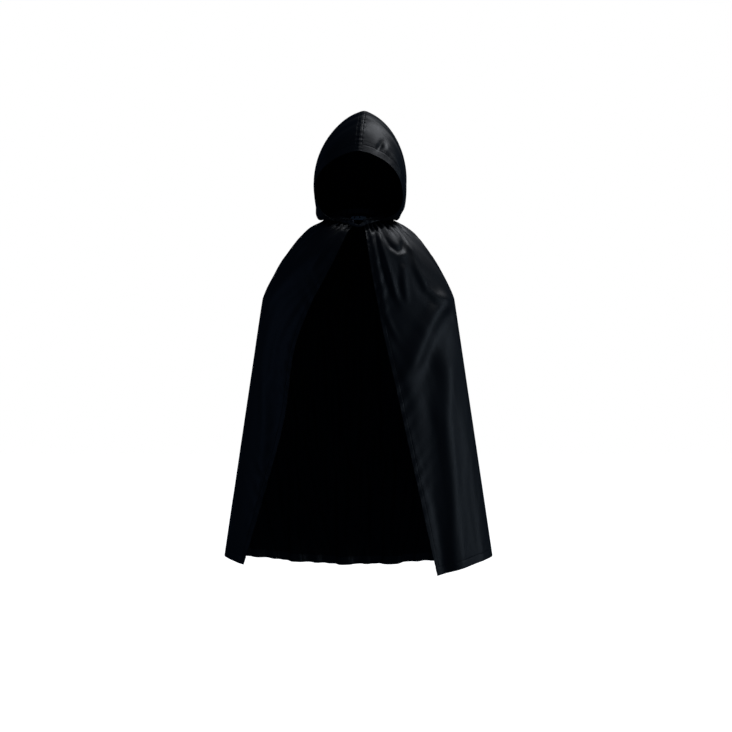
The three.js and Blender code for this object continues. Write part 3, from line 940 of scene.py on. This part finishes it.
def stitch_row(path, normals):
    """Beads along a path on the cloth: six-sided, widest in the middle, pointed at both ends."""
    centre, ahead, share = walk(path, STITCH_PITCH)
    even = np.linspace(0, 1, len(path))
    length = np.concatenate([[0], np.cumsum(np.linalg.norm(np.diff(path, axis=0), axis=1))])
    at = np.interp(share, length / length[-1], even)
    up = unit(np.stack([np.interp(at, even, axis) for axis in normals.T], -1))
    side = unit(np.cross(ahead, up))
    up = np.cross(side, ahead)
    along = np.array(BEAD_PLACES) * STITCH_LENGTH
    swell = np.array(BEAD_SWELL) * THREAD_RADIUS
    angle = np.arange(BEAD_SIDES) * np.pi / 3
    ring = np.cos(angle)[:, None, None] * side + np.sin(angle)[:, None, None] * up
    beads = centre + along[:, None, None, None] * ahead + swell[:, None, None, None] * ring
    beads = beads + THREAD_LIFT * up
    vertices = beads.transpose(2, 0, 1, 3).reshape(-1, 3)  # bead, section, corner
    corner = np.arange(BEAD_SIDES * len(along)).reshape(len(along), BEAD_SIDES)
    beside = np.roll(corner, -1, axis=1)
    quads = np.stack([corner[:-1], corner[1:], beside[1:], beside[:-1]], -1).reshape(-1, 4)
    caps = np.stack([corner[0, ::-1], corner[-1]])
    bead_starts = corner.size * np.arange(len(centre))[:, None, None]
    faces = []
    for one_bead in (quads, caps):
        faces += (one_bead + bead_starts).reshape(-1, one_bead.shape[1]).tolist()
    return vertices, faces


def add_stitches(name, rows):
    """One object from several stitch rows, each a path with its normals."""
    vertices, faces, count = [], [], 0
    for path, normals in rows:
        points, row_faces = stitch_row(path, normals)
        vertices.append(points)
        faces += [[count + i for i in face] for face in row_faces]
        count += len(points)
    add_loose(name, np.concatenate(vertices), faces, [THREAD])
    print(name, count // (BEAD_SIDES * len(BEAD_PLACES)), "stitches")


def line_on(panel, inset):
    """The line at one distance from the front edge, and the cloth's normals along it."""
    points, _ = strip(panel, inset - MM, inset + MM, count=3)
    normals = grid_normals(points, points * BOTH_SIDES)
    return points[:, 1], normals[:, 1]


def hem_line(panel):
    """The bottom stitch row: a level line of the panel just below the top of its hem."""
    row = panel["grid"].shape[0] - 1 - hem_rows
    normals = grid_normals(panel["grid"], panel["grid"] * BOTH_SIDES)
    return panel["grid"][row], normals[row]


add_stitches("back_stitching", [hem_line(panels["back"])])
for word in ("left", "right"):
    rows = [line_on(panels[word], STITCH_INSET), hem_line(panels[word])]
    add_stitches(f"{word}_stitching", rows)

# %% [markdown]
# ## Hood
# The hood is two mirrored pieces joined by a seam over the crown, so it stands up in a ridge. It
# bulges at the cheeks and droops over the neckband. A casing is turned under round the face. The
# wearer's head pushes it slightly to one side.

# %% The hood's form
HOOD = {
    "back": [0, 0.15, 0.32, 0.5, 0.66, 0.8, 0.92, 1],
    "ridge_depth": [-112, -92, -52, 4, 54, 88, 94, 72],
    "ridge_height": [168, 222, 261, 273, 252, 196, 112, 60],
    "half_width": [100, 103, 105, 104, 99, 86, 57, 1],
    "cheek_rise": [0.36, 0.3, 0.25, 0.22, 0.24, 0.28, 0.34, 0.4],
    "droop": [10, 20, 24, 24, 20, 12, 5, 0],
    "neck_turn": [170, 150, 122, 90, 60, 35, 14, 0.3],
}
CHEEK = 0.3  # share of each section that lies below its widest point
HOOD_ROLL, HOOD_YAW, HOOD_SHIFT = 0.045, 0.1, 4
ARCH_WIDTH, ARCH_RISE = 1.35, 0.83  # powers that shape the arch over the head
NECK_SEAM = (36, 0.31)  # the seam's height at the sides, and its rise towards the back
BAND_HEIGHT = 14
HOOD_GAP = 1.5
RIDGE_CLEAR = 0.05
HOOD_CENTRE = np.array([0, 0, 90])  # millimetres, well inside it


def hood_row(name, back):
    """One row of HOOD at any place between the face edge and the nape. Rows are in
    millimetres, but cheek_rise is a share of the height and neck_turn is in degrees."""
    return smooth(HOOD["back"], HOOD[name], back)


def hood_half(back, over):
    """The left half before it leans, in millimetres. Up to the cheek, each section is a quarter
    turn out from the neck seam; above it, a quarter turn in to the ridge."""
    back, over = np.broadcast_arrays(np.asarray(back, float), np.asarray(over, float))
    neck = cape_form(hood_row("neck_turn", back), 0) / MM
    neck_z = neck[..., 2] + BAND_HEIGHT + HOOD_GAP
    width, cheek = hood_row("half_width", back), hood_row("cheek_rise", back)
    ridge_y, ridge_z = hood_row("ridge_depth", back), hood_row("ridge_height", back)
    low = np.clip(over / CHEEK, 0, 1) * np.pi / 2
    high = np.clip((over - CHEEK) / (1 - CHEEK), 0, 1) * np.pi / 2
    below = over < CHEEK
    rise = np.where(
        below, cheek * (1 - np.cos(low)), cheek + (1 - cheek) * np.sin(high) ** ARCH_RISE
    )
    wide = np.where(
        below,
        neck[..., 0] + (width - neck[..., 0]) * np.sin(low),
        width * np.clip(np.cos(high), 0, 1) ** ARCH_WIDTH,
    )
    droop = np.where(below, hood_row("droop", back) * np.sin(2 * low), 0)
    deep = neck[..., 1] + (ridge_y - neck[..., 1]) * rise
    return np.stack([wide, deep, neck_z + (ridge_z - neck_z) * rise - droop], -1)


def lean(points):
    """The hood rolls and turns a little on the neck, and not at all at the neck seam."""
    height = np.maximum(points[..., 2] - NECK_SEAM[0] - NECK_SEAM[1] * points[..., 1], 0)
    moved = points.copy()
    moved[..., 0] += HOOD_ROLL * height + HOOD_YAW * points[..., 1] * ease(0, 100, height)
    moved[..., 0] += HOOD_SHIFT * ease(0, 25, height)
    return moved


print("hood ridge top at", max(HOOD["ridge_height"]), "mm")

# %% [markdown]
# ## The hood's folds
# Sewn fullness shows near the seam that holds it and dies away from it: gathers stand up from
# the neck, soft folds hang from the ridge, and the seam itself draws small puckers. They are
# added to the smooth half, so the casing and the stitches can be read off the same surface.

# %% Hood folds
BROW_TURN = -0.95  # radians


def crease(back, over, centre, size, turn):
    """A long dimple: a bell of width size[0] and length size[1], in shares of the half."""
    along, across = over - centre[1], back - centre[0]
    cosine, sine = np.cos(turn), np.sin(turn)
    long, wide = along * cosine + across * sine, across * cosine - along * sine
    return np.exp(-((wide / size[0]) ** 2) - (long / size[1]) ** 2)


def hood_folds(back, over, side):
    """Heights over the hood's smooth form, in millimetres: eased-in fullness along the neck
    seam, soft folds down from the ridge, dimples at the brow and puckers beside the seam."""
    gather = 2.6 * np.cos(2 * np.pi * 11 * back + side) * (1 - ease(0.04, 0.2, over))
    gather = gather * ease(0, 0.03, over) * ease(0.03, 0.1, back)
    drift = 0.6 * np.sin(7 * over + 2 * side)
    soft = 1.6 * np.cos(2 * np.pi * (3.2 * back) + drift + 0.8 * side)
    soft = soft * ease(0.1, 0.35, over) * (1 - ease(0.75, 0.98, over)) * ease(0.05, 0.2, back)
    pucker = 0.5 * np.cos(2 * np.pi * (34 * back + 0.8 * np.sin(19 * back)))
    pucker = pucker * ease(0.9, 0.96, over)
    brow = 0.0
    if side > 0:
        brow = -3.6 * crease(back, over, (0.082, 0.73), (0.024, 0.055), BROW_TURN)
        brow += 1.3 * crease(back, over, (0.085, 0.66), (0.030, 0.06), BROW_TURN)
    cheek = -3.0 * crease(back, over, (0.16, 0.2), (0.05, 0.1), -0.4 * side)
    return gather + soft + pucker + brow + cheek


def hood_grid(side, back, over, lift=0.0):
    """One half's points in metres: form, folds, then mirrored for the right half and leaned."""
    base = hood_half(back, over)
    normals = grid_normals(base, base - HOOD_CENTRE)
    points = base + normals * (hood_folds(back, over, side) + lift)[..., None]
    tucked = np.clip(1 - over / 0.02, 0, 1)[..., None]  # the neck edge is sewn inside the band
    points = points + tucked * ([0, 0, -2.6] - unit(points * BOTH_SIDES))
    seam = (over == 1) | (back == 1)  # the crown and the nape, where the halves meet
    points[..., 0] = side * np.where(seam, RIDGE_CLEAR, np.maximum(points[..., 0], RIDGE_CLEAR))
    return MM * lean(points)


# %% Hood pieces
CASING_SHARE = 0.075
CASING_FLAT = (0.3, 0.33)  # metres of cloth for a whole share each way
RIDGE_STITCH = STITCH_INSET - 3 * MM  # the row beside the crown seam
backs = np.linspace(0, 1, 161)[:, None]
overs = np.linspace(0, 1, 129)[None, :]

for side, word in ((1, "left"), (-1, "right")):
    grid = hood_grid(side, backs, overs)
    along = np.cumsum(np.linalg.norm(np.diff(grid, axis=0, prepend=grid[:1]), axis=2), axis=0)
    up = np.cumsum(np.linalg.norm(np.diff(grid, axis=1, prepend=grid[:, :1]), axis=2), axis=1)
    from_edge = np.minimum(along * STITCH_INSET / (16 * MM), (up[:, -1:] - up) + 3 * MM)
    hint = grid - MM * HOOD_CENTRE
    uv, marks = np.stack([along, up], -1), {"from_edge": from_edge}
    add_cloth(f"hood_{word}", grid, uv, [SATIN, SATIN_BACK], hint, marks=marks)
    casing_backs = np.linspace(0, CASING_SHARE, 9)[:, None]
    casing_overs = np.linspace(0.02, 0.975, 97)[None, :]
    turned = hood_grid(side, casing_backs, casing_overs)
    casing_uv = casing_backs * CASING_FLAT[0], casing_overs * CASING_FLAT[1]
    uv = np.stack(np.broadcast_arrays(*casing_uv), -1)
    add_turned(f"hood_{word}_casing", turned, uv, turned - MM * HOOD_CENTRE)
    normals = grid_normals(grid, hint)
    row = int(round(CASING_SHARE * 0.9 * (len(backs) - 1)))
    beside = np.argmin(np.abs(up[:, -1:] - up - RIDGE_STITCH), axis=1)
    seam_rows = np.arange(4, int(0.93 * len(backs)))
    lines = [
        (grid[row, 2:-2], normals[row, 2:-2]),
        (grid[seam_rows, beside[seam_rows]], normals[seam_rows, beside[seam_rows]]),
    ]
    add_stitches(f"hood_{word}_stitching", lines)
    steps = grid[1:, :-1] - grid[:-1, :-1], grid[:-1, 1:] - grid[:-1, :-1]
    area = np.linalg.norm(np.cross(*steps), axis=2).sum()
    ridge, rise = along[-1, -1], up[:, -1].max()
    print(f"hood_{word}: area {area:.4f} m2, ridge {ridge:.3f} m, rise {rise:.3f} m")


FIN_DEPTH = (0.55, 11)  # millimetres in from the ridge
FIN_LENGTH = 400  # of the seam, along the ridge
FIN_THICKNESS = 2 * CLOTH_THICKNESS  # both halves' spare cloth together


def ridge_fin():
    """The centre seam's spare cloth: a narrow fin standing in from the ridge, slightly wavy.
    Returns its points and their flat coordinates."""
    back = np.linspace(0.09, 0.985, 90)
    ridge = hood_half(back, np.ones_like(back))
    forward = unit(np.gradient(ridge, axis=0))
    inward = np.stack([0 * back, forward[:, 2], -forward[:, 1]], -1)
    depth = np.linspace(*FIN_DEPTH, 6)
    points = ridge[:, None] + depth[None, :, None] * inward[:, None]
    points[..., 0] = 0.6 * np.sin(40 * back)[:, None] * (depth / FIN_DEPTH[1])[None, :]
    flat = np.stack(np.broadcast_arrays(back[:, None] * FIN_LENGTH, depth[None, :]), -1)
    return MM * lean(points), MM * flat


fin, uv = ridge_fin()
add_cloth(
    "hood_centre_seam", fin, uv, [SATIN_BACK, SATIN_BACK], np.array([1.0, 0, 0]),
    lift=CLOTH_THICKNESS, thickness=FIN_THICKNESS,
)
print("centre seam fin", fin.shape[:2])

# %% [markdown]
# ## Neckband
# A strip of the satin folded in two and stuffed with the gathers' raw edges, so it is a little
# rounded and never quite smooth.

# %% Neckband
BAND_END = 172  # degrees from the back, at each end of the throat opening
BAND_THICKNESS = 2
NECK_RADII = MM * np.array([SECTIONS["half_width"][0], SECTIONS["front_depth"][0], 1])
SECTION_CORNERS = 20
SWEPT_SHARP = 70  # degrees
NO_EDGE = 1.0  # metres: too far from a sewn edge for any stitch groove
FACE_POWER, EDGE_POWER = 0.8, 0.55  # the smaller, the flatter the face and the squarer the edge


def neck_outward(points):
    """The level direction straight out of the neck's ellipse: x and y over its radii squared."""
    return unit(points / NECK_RADII**2 * BOTH_SIDES)


def rounded_strip(low, high, thickness, lift, bulge):
    """A closed loop round each section of a strip: a flat face with rounded edges, and the same
    behind. Returns loops of (distance outwards, height) in millimetres."""
    loop = np.linspace(0, 2 * np.pi, SECTION_CORNERS, endpoint=False)
    swell = np.abs(np.cos(loop)) ** FACE_POWER * np.sign(np.cos(loop))
    tall = np.abs(np.sin(loop)) ** EDGE_POWER * np.sign(np.sin(loop))
    out = lift[:, None] + thickness / 2 * swell + bulge[:, None] * np.clip(swell, 0, 1)
    height = (low + high)[:, None] / 2 + (high - low)[:, None] / 2 * tall
    return out, height


def add_swept(name, turns, low, high, thickness, lift, bulge, materials):
    """Sweeps the rounded section round the neck, and closes both ends."""
    out, height = rounded_strip(low, high, thickness, lift, bulge)
    base = cape_form(turns, 0) * BOTH_SIDES
    normal = neck_outward(base)
    points = base[:, None] + MM * out[..., None] * normal[:, None]
    points[..., 2] = MM * height
    rows, corners = out.shape
    index = np.arange(rows * corners).reshape(rows, corners)
    ahead = np.roll(index, -1, axis=1)
    quads = np.stack([index[:-1], ahead[:-1], ahead[1:], index[1:]], -1).reshape(-1, 4)
    faces = quads.tolist() + index[[0, -1]].tolist()
    length = np.cumsum(np.linalg.norm(np.diff(base, axis=0, prepend=base[:1]), axis=1))
    section_steps = (np.diff(x, axis=1, prepend=x[:, :1]) for x in (out, height))
    around = np.cumsum(np.hypot(*section_steps), axis=1)
    uv = np.stack([np.broadcast_to(length[:, None], out.shape), MM * around], -1).reshape(-1, 2)
    marks = {"from_edge": np.full(len(uv), NO_EDGE)}
    add_loose(name, points.reshape(-1, 3), faces, materials, SWEPT_SHARP, uv, marks)
    print(name, f"{length[-1] / MM:.0f} mm long")


turns = np.linspace(-BAND_END, BAND_END, 361)
seat = cape_form(turns, 0)[:, 2] / MM
ripple = 0.35 * np.cos(np.radians(turns) * 34 + 1.3 * np.sin(np.radians(turns) * 5))
add_swept(
    "neckband", turns, seat, seat + BAND_HEIGHT + 0.6, BAND_THICKNESS,
    ripple - 1.0, 0.5 + 0 * turns, [SATIN],
)

# %% [markdown]
# ## Closure tab
# The tab is sewn to the wearer's left end of the band, crosses the throat, dips in the middle
# and snaps on to the other end. Its weight and the cape's pull give it one soft crease.

# %% Closure tab
TAB_REACH, TAB_HEIGHT, TAB_LOWEST, TAB_DIP, TAB_THICKNESS = 19.5, 8.4, -1, 7, 1.4
tab_turn = np.degrees(np.arcsin(TAB_REACH / SECTIONS["half_width"][0]))
share = np.linspace(0, 1, 81)
tab_low = TAB_LOWEST + TAB_DIP * (np.sqrt((2 * share - 1) ** 2 + 0.05) - 0.2)
pinch = 1.8 * np.exp(-(((share - 0.5) / 0.13) ** 2))  # pulled together in the middle
wrinkle = 0.22 * np.sin(2 * np.pi * 5 * share + 0.6) + 0.12 * np.sin(2 * np.pi * 11 * share)
stand_off = 0.6 + 2.8 * ease(0, 0.5, share) + 0.7
add_swept(
    "closure_tab", 180 + tab_turn * (2 * share - 1), tab_low + 0.3 * pinch + wrinkle,
    tab_low + TAB_HEIGHT - pinch - wrinkle, TAB_THICKNESS,
    stand_off, 0.3 + 0.25 * pinch + wrinkle, [TAB_SATIN_PAINTED_SHEEN],
)

# %% [markdown]
# ## Snap
# A press snap is two stamped discs: a stud under the tab and a socket on the band. Both are
# turned profiles. The stud stops just above the socket's dish, so the two never overlap.

# %% Snap
SNAP_TURN, SNAP_HEIGHT = 168.8, 8  # degrees from the back, millimetres over the neck seam
SOCKET = [
    (0, 0.4), (3.7, 0.4), (4, 0.6), (4, 0.9), (3.6, 1.3), (2.6, 1.35), (2.3, 1.0), (1.3, 0.9),
    (0, 0.9),
]
STUD = [
    (0, 1.55), (0.9, 1.55), (1.15, 1.75), (1.1, 1.95), (3.2, 2.0), (3.5, 2.2), (3.4, 2.6),
    (2.4, 2.75), (0, 2.75),
]


def add_lathed(name, profile, centre, axis, materials, steps=36):
    """Turns a profile of (radius, height) pairs, in millimetres, about an axis; it starts and
    ends on the axis, so the piece is closed."""
    across = unit(np.cross(axis, [0, 0, 1.0]))
    other = np.cross(axis, across)
    radius, height = MM * np.array(profile, float).T
    angle = np.linspace(0, 2 * np.pi, steps, endpoint=False)
    round_trip = np.cos(angle)[:, None] * across + np.sin(angle)[:, None] * other
    rings = radius[1:-1, None, None] * round_trip + height[1:-1, None, None] * axis
    poles = height[[0, -1], None] * axis
    vertices = centre + np.concatenate([rings.reshape(-1, 3), poles])
    count = len(radius) - 2
    index = np.arange(count * steps).reshape(count, steps)
    ahead = np.roll(index, -1, axis=1)
    quads = np.stack([index[:-1], ahead[:-1], ahead[1:], index[1:]], -1).reshape(-1, 4)
    first, last = count * steps, count * steps + 1
    faces = quads.tolist()
    faces += [(first, b, a) for a, b in zip(index[0].tolist(), ahead[0].tolist())]
    faces += [(last, a, b) for a, b in zip(index[-1].tolist(), ahead[-1].tolist())]
    add_loose(name, vertices, faces, materials)
    print(name, f"{2 * max(radius) / MM:.1f} mm across")


snap_seat = cape_form(np.array(-SNAP_TURN), 0)
snap_seat[2] += MM * SNAP_HEIGHT
for name, profile in (("snap_socket", SOCKET), ("snap_stud", STUD)):
    add_lathed(name, profile, snap_seat, neck_outward(snap_seat), [SNAP_METAL])

# %% [markdown]
# ## Care label
# A blank folded tape, sewn in at the nape and curling a little at its free end. It follows the
# back's smooth form, 4 to 6 mm inside it, which takes it past the gathers.

# %% Care label
LABEL_THICKNESS = 0.3 * MM
label_turns = np.linspace(-13, 13, 27)[None, :]
label_downs = np.linspace(0.010, 0.046, 22)[:, None]
label = cape_form(label_turns, label_downs)
curl = 4.2 * MM + 2.2 * MM * ease(0.02, 0.046, label_downs + 0 * label_turns)
label = label - curl[..., None] * grid_normals(label, label * BOTH_SIDES)
uv = np.stack(np.broadcast_arrays(label_turns * MM, label_downs), -1)
add_cloth(
    "care_label", label, uv, [LABEL_TAPE, LABEL_TAPE], label * BOTH_SIDES,
    thickness=LABEL_THICKNESS,
)
print("care label", np.round(np.ptp(label.reshape(-1, 3), axis=0) / MM, 1).tolist(), "mm")

# %% [markdown]
# ## What moves with what
# The cape's own pieces ride on the body "cape", and the closure tab and the snap's stud on the body
# "tab".
# The pieces of the fronts and of the hood only have their placement baked into their meshes.

for name in (
    "neckband", "back_panel", "back_hem", "left_side_seam", "right_side_seam", "back_stitching",
    "snap_socket", "care_label",
):
    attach(parts[name], "cape")
for name in ("closure_tab", "snap_stud"):
    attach(parts[name], "tab")
for word in ("left", "right"):
    for name in (f"{word}_front", f"{word}_edge_hem", f"{word}_bottom_hem", f"{word}_stitching"):
        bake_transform(parts[name])
for name in parts:
    if name.startswith("hood_"):
        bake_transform(parts[name])
print("pieces", len(parts))

# %% Hiding the CAD solids that the cloth pieces replace
for name in (
    "neckband", "back_panel", "back_hem", "left_side_seam", "right_side_seam", "snap_socket",
    "care_label", "closure_tab", "snap_stud", "hood_centre_seam", "left_bottom_hem",
    "right_bottom_hem", "hood_left_casing", "hood_right_casing",
):
    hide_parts(name)
for word in ("left", "right"):
    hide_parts(f"{word}_front_shoulder", f"{word}_front_panel")
    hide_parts(f"{word}_edge_hem_upper", f"{word}_edge_hem_lower")
    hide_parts(f"hood_{word}_panel")


going = ["back_hem", "left_side_seam", "right_side_seam", "back_stitching"]
for word, piece in (("left", LEFT), ("right", RIGHT)):
    going = [f"{word}_edge_hem", f"{word}_bottom_hem", f"{word}_stitching"]
for word in ("left", "right"):
    going = [f"hood_{word}_casing", f"hood_{word}_stitching"]
    going += ["hood_centre_seam"] if word == "left" else []
